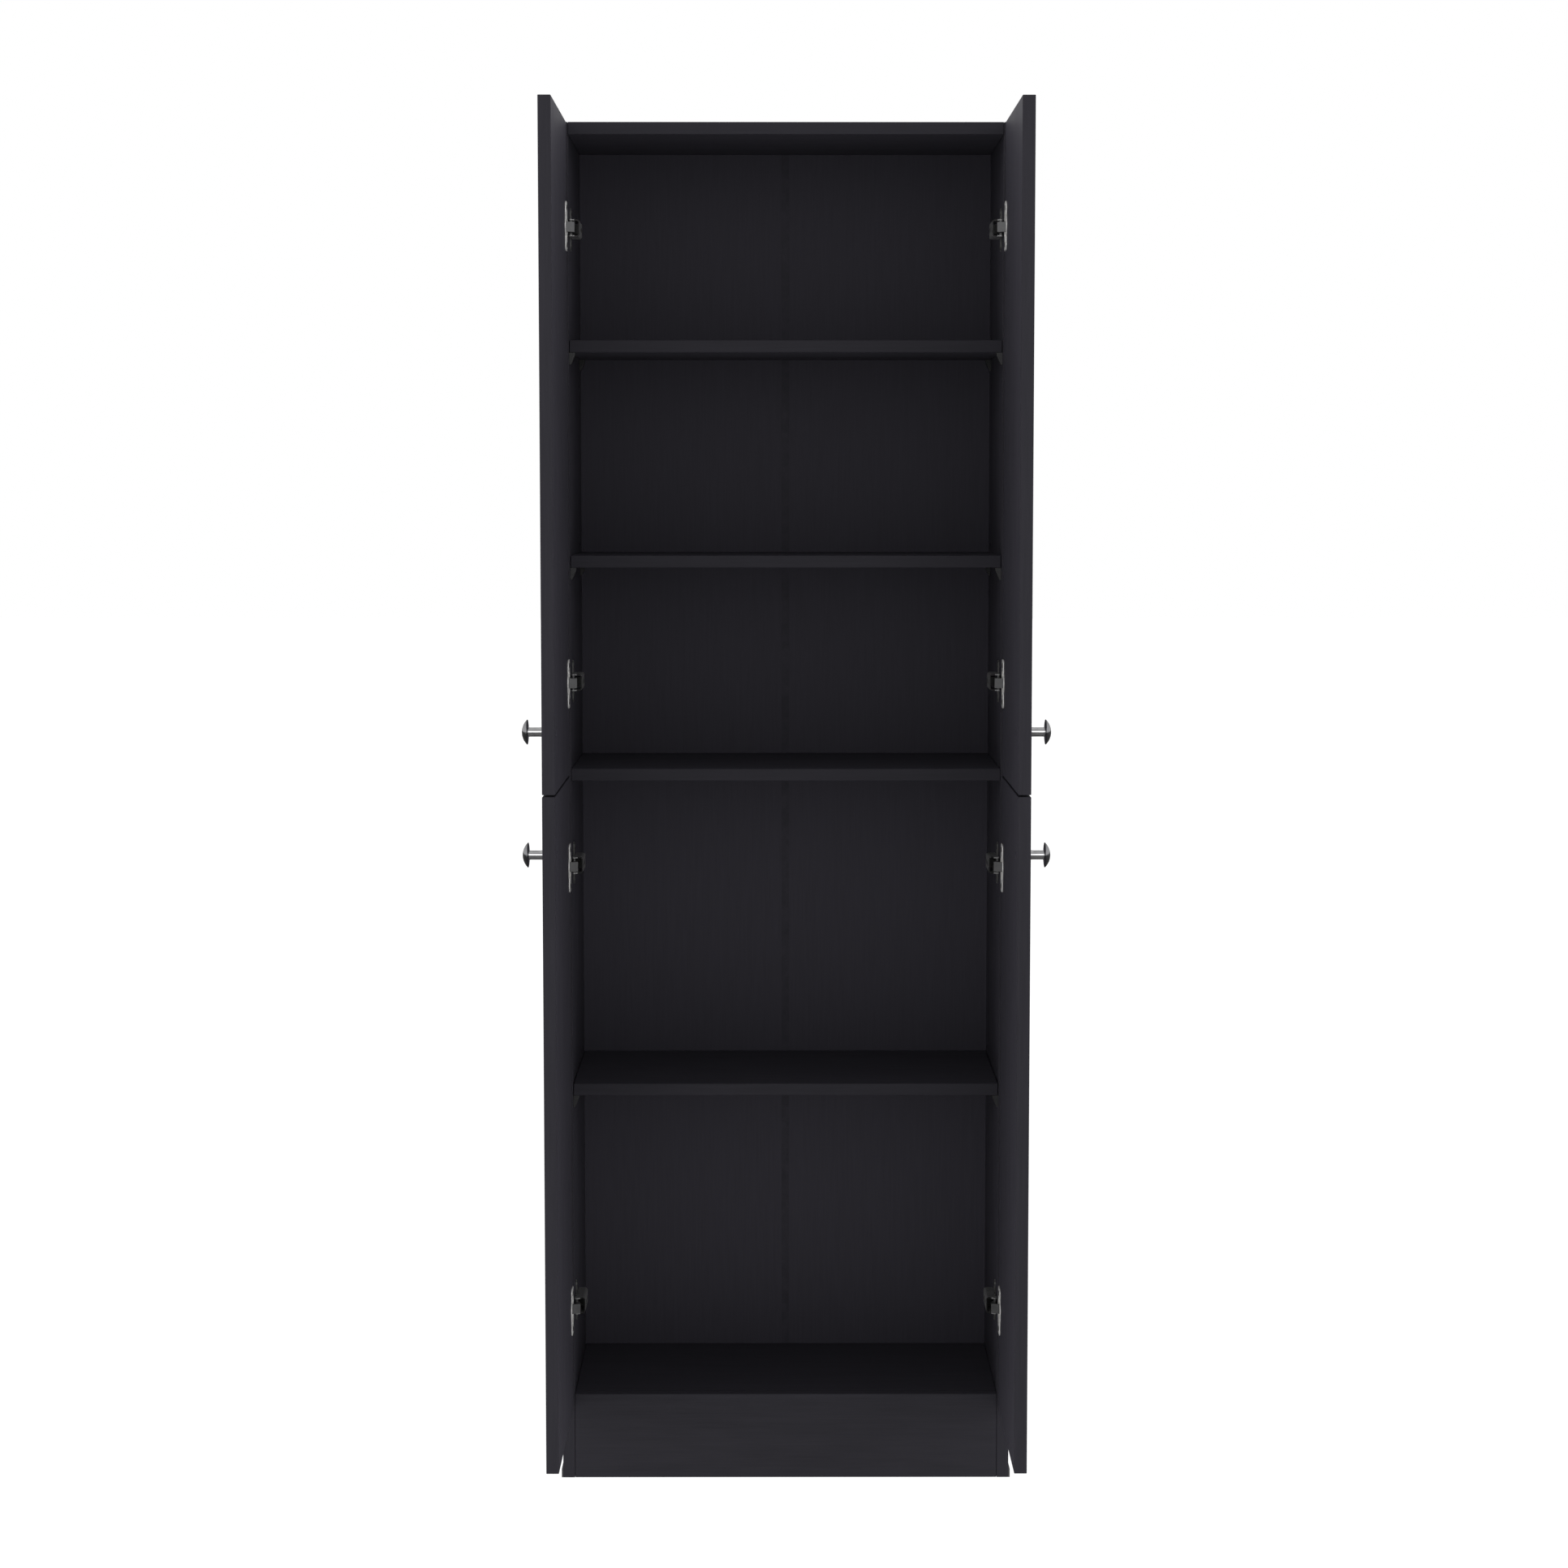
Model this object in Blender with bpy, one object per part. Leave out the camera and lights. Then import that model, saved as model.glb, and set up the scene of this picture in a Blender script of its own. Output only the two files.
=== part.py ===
"""Tall pantry cabinet with two pairs of doors, three adjustable shelves and concealed hinges.

Units are metres. +Z is up, +X is to the right and +Y runs from the front of the cabinet to its back.
The cabinet stands on z = 0 with its doors open at a right angle, which is the rest position, and the
origin lies under the centre of its bounding box. Lengths in the helpers below are measured from the
front plane of the carcass, because every piece hangs on one empty that stands in that plane.
Pieces that exist on both sides are designed for the right side and mirrored for the left.
"""

import math

import bmesh
import bpy
from mathutils import Matrix

# Carcass
WIDTH = 0.600
HEIGHT = 1.804
DEPTH = 0.284
BOARD = 0.016
KICK_HEIGHT = 0.100
CLEAR = 0.0003  # gap left between pieces that touch
EASE = 0.0006  # eased edge of an edge-banded board
OVERCUT = 0.001  # how far a cutter runs past the face that it opens
HOLE_CLEARANCE = 0.0004  # round a cup or a tack in its hole
SMOOTH_BELOW = 35  # degrees between faces that are shaded as one curve

# Sides of round pieces, and steps along rounded outlines
PIN_SEGMENTS = 12  # pins, pegs, tacks and their holes
BARREL_SEGMENTS = 16
CUP_SEGMENTS = 28
KNOB_SEGMENTS = 24
CORNER_STEPS = 4
INNER_CORNER_STEPS = 3
LINK_TIP_STEPS = 5
HALF_ROUND_STEPS = 6
FLANGE_STEPS = 8

# Back panel, its grooves and its joining strip
BACK_FRONT = 0.266
BACK_THICK = 0.003
GROOVE_DEPTH = 0.006
GROOVE_DEPTH_ENDS = 0.005
STRIP_WALL = 0.0008
STRIP_WEB = 0.001
STRIP_WIDTH = 0.010

# Doors
DOOR_THICK = 0.016
DOOR_GAP = 0.0025  # between a closed door and the carcass
DOOR_REVEAL = 0.001  # carcass left showing beside and between the doors
DOOR_TOP = HEIGHT - 0.0005
DOOR_BOTTOM = 0.0975
DOOR_SPLIT = 0.9515
DOOR_SPLIT_GAP = 0.0024

# Concealed hinges: the door turns about an axis inside its own thickness
AXIS_FROM_DOOR_EDGE = 0.0058
AXIS_BEHIND_DOOR_FACE = 0.0077
HINGE_HEIGHTS = {
    "upper": {"top": 1.668, "bottom": 1.074},
    "lower": {"top": 0.831, "bottom": 0.236},
}
CUP_FROM_DOOR_EDGE = 0.0205
CUP_RADIUS = 0.0175
CUP_DEPTH = 0.0115
CUP_WALL = 0.0012
CUP_FLOOR = 0.0008
FLANGE_THICK = 0.001
FLANGE_HALF_HEIGHT = 0.03175
FLANGE_HALF_WIDTH = 0.0135
FLANGE_CORNER = 0.006
FLANGE_RADIUS = 0.0195
LINK_PIVOT = (0.2809, 0.0026)  # pin through the arm's nose, seen from above
LINK_TIP = (0.2866, -0.0153)  # centre of the lip's round end inside the cup
LINK_INNER_ELBOW = (0.2805, -0.0119)
LINK_OUTER_ELBOW = [(0.2789, -0.0145), (0.2749, -0.0131), (0.2744, -0.0120)]
LINK_SHOULDER = [(0.2764, -0.0004), (0.2779, 0.0011)]
LINK_ROUND = 0.0015  # radius of the link's two round ends
LINK_TIP_TURN = 74  # degrees from +X at which the tip's half round starts
LINK_HALF_HEIGHT = 0.0064
LINK_BARREL_RADIUS = 0.0024
LINK_BARREL_HALF_HEIGHT = 0.0090
LINK_BORE_RADIUS = 0.0015
ARM_WALL = 0.0015
ARM_HALF_HEIGHT = 0.011
ARM_STANDOFF = 0.0146  # arm's outer face from the side panel
ARM_START = 0.0048
ARM_END = 0.062
ARM_BEND = 0.0035
ARM_CHANNEL_DEPTH = 0.0121
CHEEK_RADIUS = 0.0026
CHEEK_LEAD = 0.0006
CHEEK_END = 0.012
CHEEK_TURN = 215  # degrees from +X at which the cheek's round starts
RAIL_START = 0.026
RAIL_END = 0.052
RAIL_HALF_HEIGHT = 0.006
PIN_RADIUS = 0.0012
PLATE_THICK = 0.0018
PLATE_START = 0.0218
PLATE_END = 0.060
PLATE_HALF_HEIGHT = 0.0095
PLATE_WING_CENTRE = 0.037
PLATE_WING_HALF_WIDTH = 0.006
PLATE_WING_HALF_HEIGHT = 0.028

# Knobs
KNOB_FROM_FREE_EDGE = 0.035
KNOB_FROM_SPLIT = 0.0755
KNOB_STEM = [(0.0, 0.0), (0.0070, 0.0), (0.0070, 0.0010), (0.0060, 0.0035), (0.0058, 0.0150)]
KNOB_RIM = [(0.0066, 0.0168), (0.0150, 0.0172), (0.0157, 0.0184), (0.0155, 0.0200)]
KNOB_DOME = [(0.0142, 0.0222), (0.0116, 0.0242), (0.0080, 0.0256), (0.0040, 0.0263), (0.0, 0.0265)]

# Adjustable shelves and their supports
SHELF_SETBACK = 0.003
SHELF_SIDE_CLEARANCE = 0.0008
SUPPORT_PROJECTION = 0.0077
SUPPORT_HEIGHT = 0.0155
SUPPORT_WIDTH = 0.012
SUPPORT_LIP = 0.003  # upright edge under the flat top
SUPPORT_TOE = 0.0022  # thickness left at the foot of the slope
SUPPORT_FRONT = 0.010
SUPPORT_REAR = 0.235
PEG_RADIUS = 0.0024
PEG_LENGTH = 0.008
PEG_ROOT = 0.002  # stretch of the peg that is merged into the support
PEG_DROP = 0.005
PEG_HOLE_RADIUS = 0.0028
PEG_HOLE_DEPTH = 0.009
HOLE_PITCH = 0.032

# Foot glides
GLIDE_FLOOR = 0.0009
GLIDE_WALL = 0.002
GLIDE_HEIGHT = 0.018
GLIDE_TAPER = 0.0065
GLIDE_LENGTH = 0.040
GLIDE_INSET = 0.004
TACK_RADIUS = 0.0022
TACK_LENGTH = 0.008

SIDES = {"left": -1, "right": 1}

# Finishes: name, base colour, roughness and metallic value
FINISHES = {
    "board": ("charcoal_melamine", (0.040, 0.038, 0.046), 0.48, 0.0),
    "back": ("charcoal_back_board", (0.043, 0.041, 0.052), 0.60, 0.0),
    "strip": ("charcoal_profile", (0.037, 0.035, 0.044), 0.45, 0.0),
    "plastic": ("black_plastic", (0.012, 0.012, 0.013), 0.40, 0.0),
    "glide": ("grey_plastic", (0.060, 0.060, 0.062), 0.50, 0.0),
    "nickel": ("nickel_plated_steel", (0.62, 0.62, 0.62), 0.28, 1.0),
    "knob": ("dark_polished_metal", (0.20, 0.20, 0.21), 0.18, 1.0),
}

# Sizes that follow from the ones above
BOARDS_START = GLIDE_FLOOR + CLEAR  # height at which the side panels and the kick board begin
INNER_HALF = WIDTH / 2 - BOARD
DOOR_OUTER = WIDTH / 2 - DOOR_REVEAL
AXIS_X = DOOR_OUTER - AXIS_FROM_DOOR_EDGE
AXIS_Y = -DOOR_GAP - AXIS_BEHIND_DOOR_FACE
OPEN_REACH = DOOR_OUTER - DOOR_REVEAL + DOOR_GAP + AXIS_BEHIND_DOOR_FACE - AXIS_FROM_DOOR_EDGE
FRONT_PLANE_Y = (OPEN_REACH - DEPTH) / 2
FLOOR_TOP = KICK_HEIGHT + BOARD
CEILING = HEIGHT - BOARD
BAY_HEIGHT = (CEILING - FLOOR_TOP - BOARD) / 2
MIDDLE_TOP = FLOOR_TOP + BAY_HEIGHT + BOARD
FIXED_SHELF_END = BACK_FRONT - CLEAR - STRIP_WALL - CLEAR
UPPER_STEP = (BAY_HEIGHT - 2 * BOARD) / 3
SHELF_BOTTOMS = {
    "upper": MIDDLE_TOP + 2 * UPPER_STEP + BOARD,
    "centre": MIDDLE_TOP + UPPER_STEP,
    "lower": FLOOR_TOP + (BAY_HEIGHT - BOARD) / 2,
}


def clear_scene():
    for old in list(bpy.data.objects):
        bpy.data.objects.remove(old, do_unlink=True)


def make_material(name, colour, roughness, metallic):
    material = bpy.data.materials.new(name)
    material.use_nodes = True
    shader = material.node_tree.nodes["Principled BSDF"]
    shader.inputs["Base Color"].default_value = (*colour, 1.0)
    shader.inputs["Roughness"].default_value = roughness
    shader.inputs["Metallic"].default_value = metallic
    return material


def make_materials():
    return {key: make_material(*finish) for key, finish in FINISHES.items()}


# ---------------------------------------------------------------- shapes


def finish_mesh(name, work):
    """Mesh of a bmesh whose faces are made to point outward."""
    bmesh.ops.recalc_face_normals(work, faces=work.faces)
    mesh = bpy.data.meshes.new(name)
    work.to_mesh(mesh)
    work.free()
    return mesh


def block(low, high):
    """Box between two opposite corners."""
    work = bmesh.new()
    size = [b - a for a, b in zip(low, high)]
    centre = [(a + b) / 2 for a, b in zip(low, high)]
    matrix = Matrix.Translation(centre) @ Matrix.Diagonal((*size, 1.0))
    bmesh.ops.create_cube(work, size=1.0, matrix=matrix)
    return finish_mesh("block", work)


def prism(outline, axis, start, end):
    """Closed outline drawn across an axis and extruded along it.

    The outline's two coordinates are the other two axes, in X, Y, Z order.
    """
    index = "XYZ".index(axis)

    def place(point, along):
        full = list(point)
        full.insert(index, along)
        return full

    work = bmesh.new()
    ring = [work.verts.new(place(point, start)) for point in outline]
    base = work.faces.new(ring)
    swept = bmesh.ops.extrude_face_region(work, geom=[base])["geom"]
    moved = [item for item in swept if isinstance(item, bmesh.types.BMVert)]
    shift = [0.0, 0.0, 0.0]
    shift[index] = end - start
    bmesh.ops.translate(work, verts=moved, vec=shift)
    return finish_mesh("prism", work)


def arc(centre, radius, start, end, steps):
    """Points on a circle from one angle to another, in degrees, ends included."""
    points = []
    for step in range(steps + 1):
        angle = math.radians(start + (end - start) * step / steps)
        points.append((centre[0] + radius * math.cos(angle), centre[1] + radius * math.sin(angle)))
    return points


def rod(centre, radius, axis, start, end, segments=PIN_SEGMENTS):
    """Round bar along an axis."""
    circle = arc(centre, radius, 0, 360, segments)[:-1]
    return prism(circle, axis, start, end)


def turned(profile, segments):
    """Solid of revolution about Y from (radius, height) points, both end points on the axis."""
    work = bmesh.new()
    rings = []
    for radius, height in profile:
        if radius == 0.0:
            rings.append([work.verts.new((0.0, height, 0.0))])
            continue
        circle = arc((0.0, 0.0), radius, 0, 360, segments)[:-1]
        rings.append([work.verts.new((x, height, z)) for x, z in circle])
    for lower, upper in zip(rings, rings[1:]):
        for step in range(segments):
            following = (step + 1) % segments
            corners = [lower[step % len(lower)], lower[following % len(lower)]]
            corners += [upper[following % len(upper)], upper[step % len(upper)]]
            work.faces.new(list(dict.fromkeys(corners)))
    return finish_mesh("turned", work)


def carve(base, steps, ease=0.0):
    """Mesh of a base after its edges are eased and each (operation, tool mesh) is applied."""
    collection = bpy.context.scene.collection
    workpiece = bpy.data.objects.new("workpiece", base)
    collection.objects.link(workpiece)
    if ease:
        bevel = workpiece.modifiers.new("eased_edges", "BEVEL")
        bevel.width = ease
        bevel.segments = 1
    tools = []
    for operation, mesh in steps:
        tool = bpy.data.objects.new("tool", mesh)
        tool.hide_render = True
        tool.display_type = "WIRE"
        collection.objects.link(tool)
        boolean = workpiece.modifiers.new(operation.lower(), "BOOLEAN")
        boolean.operation = operation
        boolean.solver = "EXACT"
        boolean.object = tool
        tools.append(tool)
    graph = bpy.context.evaluated_depsgraph_get()
    result = bpy.data.meshes.new_from_object(workpiece.evaluated_get(graph))
    result.materials.clear()
    for done in [workpiece, *tools]:
        bpy.data.objects.remove(done, do_unlink=True)
    return result


def joined(meshes):
    """One mesh that holds several, which don't touch each other."""
    work = bmesh.new()
    for mesh in meshes:
        work.from_mesh(mesh)
    return finish_mesh("joined", work)


def board(low, high, cuts=()):
    """Edge-banded board between two corners, with grooves and holes cut from it."""
    steps = [("DIFFERENCE", joined(cuts))] if cuts else []
    return carve(block(low, high), steps, EASE)


def for_side(mesh, side):
    """The right-hand mesh itself, or its mirror image for the left side."""
    if side > 0:
        return mesh
    work = bmesh.new()
    work.from_mesh(mesh)
    work.transform(Matrix.Scale(-1.0, 4, (1.0, 0.0, 0.0)))
    bmesh.ops.reverse_faces(work, faces=work.faces)
    mirrored = bpy.data.meshes.new(mesh.name + "_left")
    work.to_mesh(mirrored)
    work.free()
    return mirrored


def both_sides(mesh):
    return {name: for_side(mesh, side) for name, side in SIDES.items()}


# ---------------------------------------------------------------- placing


def add_empty(name, location, parent=None, turn=0.0):
    empty = bpy.data.objects.new(name, None)
    empty.location = location
    empty.rotation_euler = (0.0, 0.0, turn)
    empty.parent = parent
    bpy.context.scene.collection.objects.link(empty)
    return empty


def add_part(name, mesh, material, parent, location=(0.0, 0.0, 0.0), round_piece=False):
    part = bpy.data.objects.new(name, mesh)
    part.parent = parent
    part.location = location
    bpy.context.scene.collection.objects.link(part)
    if not mesh.materials:
        mesh.materials.append(material)
    if round_piece:
        mesh.shade_smooth()
        mesh.set_sharp_from_angle(angle=math.radians(SMOOTH_BELOW))
    return part


# ---------------------------------------------------------------- carcass


def back_groove(low_x, high_x, low_z, high_z):
    """Cutter for a stretch of the groove that holds the back panel."""
    low = (low_x, BACK_FRONT - CLEAR, low_z)
    high = (high_x, BACK_FRONT + BACK_THICK + CLEAR, high_z)
    return block(low, high)


def peg_holes():
    """Cutters for the support holes: one at each shelf, one a pitch above and one below."""
    holes = []
    for bottom in SHELF_BOTTOMS.values():
        for depth in (SUPPORT_FRONT, SUPPORT_REAR):
            for step in (-1, 0, 1):
                centre = (depth, bottom - CLEAR - PEG_DROP + step * HOLE_PITCH)
                start = INNER_HALF - OVERCUT
                end = INNER_HALF + PEG_HOLE_DEPTH
                holes.append(rod(centre, PEG_HOLE_RADIUS, "X", start, end))
    return holes


def glide_places():
    """Centres along Y of the front and rear foot glides."""
    front = GLIDE_INSET + GLIDE_LENGTH / 2
    return {"front": front, "rear": DEPTH - front}


def side_panel():
    low_z = -OVERCUT
    cuts = [back_groove(INNER_HALF - OVERCUT, INNER_HALF + GROOVE_DEPTH, low_z, HEIGHT + OVERCUT)]
    cuts += peg_holes()
    for depth in glide_places().values():
        centre = (INNER_HALF + BOARD / 2, depth)
        top = BOARDS_START + TACK_LENGTH + OVERCUT
        cuts.append(rod(centre, TACK_RADIUS + HOLE_CLEARANCE, "Z", low_z, top))
    return board((INNER_HALF, 0.0, BOARDS_START), (INNER_HALF + BOARD, DEPTH, HEIGHT), cuts)


def add_carcass(root, materials):
    panel = materials["board"]
    half = INNER_HALF - CLEAR
    for name, mesh in both_sides(side_panel()).items():
        add_part("side_panel_" + name, mesh, panel, root)

    groove = back_groove(-WIDTH, WIDTH, CEILING - OVERCUT, CEILING + GROOVE_DEPTH_ENDS)
    top = board((-half, 0.0, CEILING), (half, DEPTH, HEIGHT), [groove])
    add_part("top_panel", top, panel, root)

    low = (-half, 0.0, MIDDLE_TOP - BOARD)
    middle = board(low, (half, FIXED_SHELF_END, MIDDLE_TOP))
    add_part("middle_panel", middle, panel, root)

    groove = back_groove(-WIDTH, WIDTH, FLOOR_TOP - GROOVE_DEPTH_ENDS, FLOOR_TOP + OVERCUT)
    low = (-half, BOARD + CLEAR, KICK_HEIGHT)
    bottom = board(low, (half, DEPTH, FLOOR_TOP), [groove])
    add_part("bottom_panel", bottom, panel, root)

    kick = board((-half, 0.0, BOARDS_START), (half, BOARD, FLOOR_TOP))
    add_part("kick_board", kick, panel, root)


def add_back(root, materials):
    low_z = FLOOR_TOP - GROOVE_DEPTH_ENDS + CLEAR
    high_z = CEILING + GROOVE_DEPTH_ENDS - CLEAR
    low = (STRIP_WEB / 2 + CLEAR, BACK_FRONT, low_z)
    high = (INNER_HALF + GROOVE_DEPTH - CLEAR, BACK_FRONT + BACK_THICK, high_z)
    for name, mesh in both_sides(block(low, high)).items():
        add_part("back_panel_" + name, mesh, materials["back"], root)

    front = BACK_FRONT - CLEAR
    rear = BACK_FRONT + BACK_THICK + CLEAR
    half = STRIP_WIDTH / 2
    web = STRIP_WEB / 2
    quarter = [(half, front - STRIP_WALL), (half, front), (web, front), (web, rear), (half, rear)]
    quarter.append((half, rear + STRIP_WALL))
    outline = quarter + [(-x, y) for x, y in reversed(quarter)]
    strip = prism(outline, "Z", FLOOR_TOP + CLEAR, CEILING - CLEAR)
    add_part("back_joining_strip", strip, materials["strip"], root)


def foot_glide():
    """Plastic glide: a floor under the side panel, a tapered wall outside it and a tack into it."""
    inner = INNER_HALF + CLEAR
    panel = WIDTH / 2 + CLEAR
    outer = panel + GLIDE_WALL
    floor = GLIDE_FLOOR
    outline = [(inner, 0.0), (outer, 0.0), (outer, GLIDE_HEIGHT - GLIDE_TAPER)]
    outline += [(panel + CLEAR, GLIDE_HEIGHT), (panel, GLIDE_HEIGHT), (panel, floor), (inner, floor)]
    body = prism(outline, "Y", -GLIDE_LENGTH / 2, GLIDE_LENGTH / 2)
    centre = (INNER_HALF + BOARD / 2, 0.0)
    tack = rod(centre, TACK_RADIUS, "Z", floor / 2, floor + TACK_LENGTH)
    return carve(body, [("UNION", tack)])


def add_glides(root, materials):
    for name, mesh in both_sides(foot_glide()).items():
        for place, depth in glide_places().items():
            part_name = f"foot_glide_{name}_{place}"
            add_part(part_name, mesh, materials["glide"], root, (0.0, depth, 0.0), True)


# ---------------------------------------------------------------- shelves


def shelf_support():
    """Gusset with a flat top and a sloping underside, and a peg that enters the side panel."""
    wall = INNER_HALF - CLEAR
    inner = wall - SUPPORT_PROJECTION
    outline = [(wall, 0.0), (inner, 0.0), (inner, -SUPPORT_LIP)]
    outline += [(wall - SUPPORT_TOE, -SUPPORT_HEIGHT), (wall, -SUPPORT_HEIGHT)]
    body = prism(outline, "Y", -SUPPORT_WIDTH / 2, SUPPORT_WIDTH / 2)
    end = INNER_HALF + PEG_LENGTH
    peg = rod((0.0, -PEG_DROP), PEG_RADIUS, "X", wall - PEG_ROOT, end)
    return carve(body, [("UNION", peg)])


def add_shelves(root, materials):
    supports = both_sides(shelf_support())
    half = INNER_HALF - SHELF_SIDE_CLEARANCE
    for level, bottom in SHELF_BOTTOMS.items():
        low = (-half, SHELF_SETBACK, 0.0)
        high = (half, FIXED_SHELF_END - CLEAR, BOARD)
        add_part("shelf_" + level, board(low, high), materials["board"], root, (0.0, 0.0, bottom))
        for name, mesh in supports.items():
            for place, depth in (("front", SUPPORT_FRONT), ("rear", SUPPORT_REAR)):
                part_name = f"shelf_support_{level}_{name}_{place}"
                location = (0.0, depth, bottom - CLEAR)
                add_part(part_name, mesh, materials["plastic"], root, location, True)


# ---------------------------------------------------------------- hinges


def hinge_cup():
    """Cup with its flange. The origin is the cup's centre on the back face of the door."""
    corner_z = FLANGE_HALF_HEIGHT - FLANGE_CORNER
    corner_x = FLANGE_HALF_WIDTH - FLANGE_CORNER
    meet = math.degrees(math.acos(FLANGE_HALF_WIDTH / FLANGE_RADIUS))
    right = arc((0.0, 0.0), FLANGE_RADIUS, -meet, meet, FLANGE_STEPS)
    right += arc((corner_x, corner_z), FLANGE_CORNER, 0, 90, CORNER_STEPS)
    left = arc((-corner_x, corner_z), FLANGE_CORNER, 90, 180, CORNER_STEPS)
    left += arc((0.0, 0.0), FLANGE_RADIUS, 180 - meet, 180 + meet, FLANGE_STEPS)
    left += arc((-corner_x, -corner_z), FLANGE_CORNER, 180, 270, CORNER_STEPS)
    right_foot = arc((corner_x, -corner_z), FLANGE_CORNER, 270, 360, CORNER_STEPS)
    flange = prism(right + left + right_foot, "Y", CLEAR, CLEAR + FLANGE_THICK)
    body = rod((0.0, 0.0), CUP_RADIUS, "Y", -CUP_DEPTH, CLEAR + FLANGE_THICK / 2, CUP_SEGMENTS)
    bottom = -CUP_DEPTH + CUP_FLOOR
    mouth = CLEAR + FLANGE_THICK + OVERCUT
    hollow = rod((0.0, 0.0), CUP_RADIUS - CUP_WALL, "Y", bottom, mouth, CUP_SEGMENTS)
    return carve(flange, [("UNION", body), ("DIFFERENCE", hollow)])


def hinge_link():
    """Bent link seen from above: pivot barrel at the arm's nose, elbow, and a lip inside the cup."""
    outline = arc(LINK_PIVOT, LINK_ROUND, 90, 0, INNER_CORNER_STEPS)
    outline.append(LINK_INNER_ELBOW)
    outline += arc(LINK_TIP, LINK_ROUND, LINK_TIP_TURN, LINK_TIP_TURN - 180, LINK_TIP_STEPS)
    outline += LINK_OUTER_ELBOW + LINK_SHOULDER
    body = prism(outline, "Z", -LINK_HALF_HEIGHT, LINK_HALF_HEIGHT)
    half = LINK_BARREL_HALF_HEIGHT
    barrel = rod(LINK_PIVOT, LINK_BARREL_RADIUS, "Z", -half, half, BARREL_SEGMENTS)
    bore = rod(LINK_PIVOT, LINK_BORE_RADIUS, "Z", -half - OVERCUT, half + OVERCUT)
    return carve(body, [("UNION", barrel), ("DIFFERENCE", bore)])


def arm_channel():
    """The arm's channel: two cheeks and a web, with rounded corners along the web."""
    face = INNER_HALF - ARM_STANDOFF
    open_edge = face + ARM_CHANNEL_DEPTH
    reach = ARM_HALF_HEIGHT - ARM_BEND
    outer = [(open_edge, ARM_HALF_HEIGHT)]
    outer += arc((face + ARM_BEND, reach), ARM_BEND, 90, 180, CORNER_STEPS)
    outer += arc((face + ARM_BEND, -reach), ARM_BEND, 180, 270, CORNER_STEPS)
    outer.append((open_edge, -ARM_HALF_HEIGHT))
    inner_half = ARM_HALF_HEIGHT - ARM_WALL
    inner_bend = ARM_BEND - ARM_WALL
    inner = [(open_edge, -inner_half)]
    inner += arc((face + ARM_BEND, -reach), inner_bend, 270, 180, INNER_CORNER_STEPS)
    inner += arc((face + ARM_BEND, reach), inner_bend, 180, 90, INNER_CORNER_STEPS)
    inner.append((open_edge, inner_half))
    return prism(outer + inner, "Y", ARM_START, ARM_END)


def arm_cheek(low_z, high_z):
    """Nose of one cheek, rounded about the link's pivot."""
    inner = INNER_HALF - ARM_STANDOFF + ARM_BEND
    outline = [(inner, CHEEK_END), (inner, ARM_START + CHEEK_LEAD)]
    outline += arc(LINK_PIVOT, CHEEK_RADIUS, CHEEK_TURN, 360, HALF_ROUND_STEPS)
    outline.append((LINK_PIVOT[0] + CHEEK_RADIUS, CHEEK_END))
    return prism(outline, "Z", low_z, high_z)


def mounting_plate():
    """Winged plate that is screwed to the side panel under the arm."""
    half = PLATE_HALF_HEIGHT
    wing_low = PLATE_WING_CENTRE - PLATE_WING_HALF_WIDTH
    wing_high = PLATE_WING_CENTRE + PLATE_WING_HALF_WIDTH
    tip = PLATE_WING_HALF_HEIGHT - PLATE_WING_HALF_WIDTH
    outline = [(PLATE_START, -half), (wing_low, -half)]
    outline += arc((PLATE_WING_CENTRE, -tip), PLATE_WING_HALF_WIDTH, 180, 360, HALF_ROUND_STEPS)
    outline += [(wing_high, -half), (PLATE_END, -half), (PLATE_END, half), (wing_high, half)]
    outline += arc((PLATE_WING_CENTRE, tip), PLATE_WING_HALF_WIDTH, 0, 180, HALF_ROUND_STEPS)
    outline += [(wing_low, half), (PLATE_START, half)]
    wall = INNER_HALF - CLEAR
    return prism(outline, "X", wall - PLATE_THICK, wall)


def hinge_arm():
    """Arm with its mounting plate, the block between them and the pin through its nose."""
    face = INNER_HALF - ARM_STANDOFF
    inside = ARM_HALF_HEIGHT - ARM_WALL
    upper_cheek = arm_cheek(inside, ARM_HALF_HEIGHT)
    lower_cheek = arm_cheek(-ARM_HALF_HEIGHT, -inside)
    plate_face = INNER_HALF - CLEAR - PLATE_THICK
    rail_low = (face + ARM_WALL / 2, RAIL_START, -RAIL_HALF_HEIGHT)
    rail_high = (plate_face + PLATE_THICK / 2, RAIL_END, RAIL_HALF_HEIGHT)
    rail = block(rail_low, rail_high)
    pin_half = ARM_HALF_HEIGHT - ARM_WALL / 2
    pin = rod(LINK_PIVOT, PIN_RADIUS, "Z", -pin_half, pin_half)
    tools = [upper_cheek, lower_cheek, rail, mounting_plate(), pin]
    return carve(arm_channel(), [("UNION", tool) for tool in tools])


def add_hinge_arms_and_links(root, materials):
    arms = both_sides(hinge_arm())
    link = hinge_link()
    link.transform(Matrix.Translation((-LINK_PIVOT[0], -LINK_PIVOT[1], 0.0)))
    links = both_sides(link)
    for level, heights in HINGE_HEIGHTS.items():
        for name, side in SIDES.items():
            pivot = (side * LINK_PIVOT[0], LINK_PIVOT[1], 0.0)
            axis = add_empty(f"link_axis_{level}_{name}", pivot, root)
            for place, height in heights.items():
                label = f"{level}_{name}_{place}"
                location = (0.0, 0.0, height)
                add_part("hinge_arm_" + label, arms[name], materials["nickel"], root, location, True)
                add_part("hinge_link_" + label, links[name], materials["nickel"], axis, location, True)


# ---------------------------------------------------------------- doors


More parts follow.
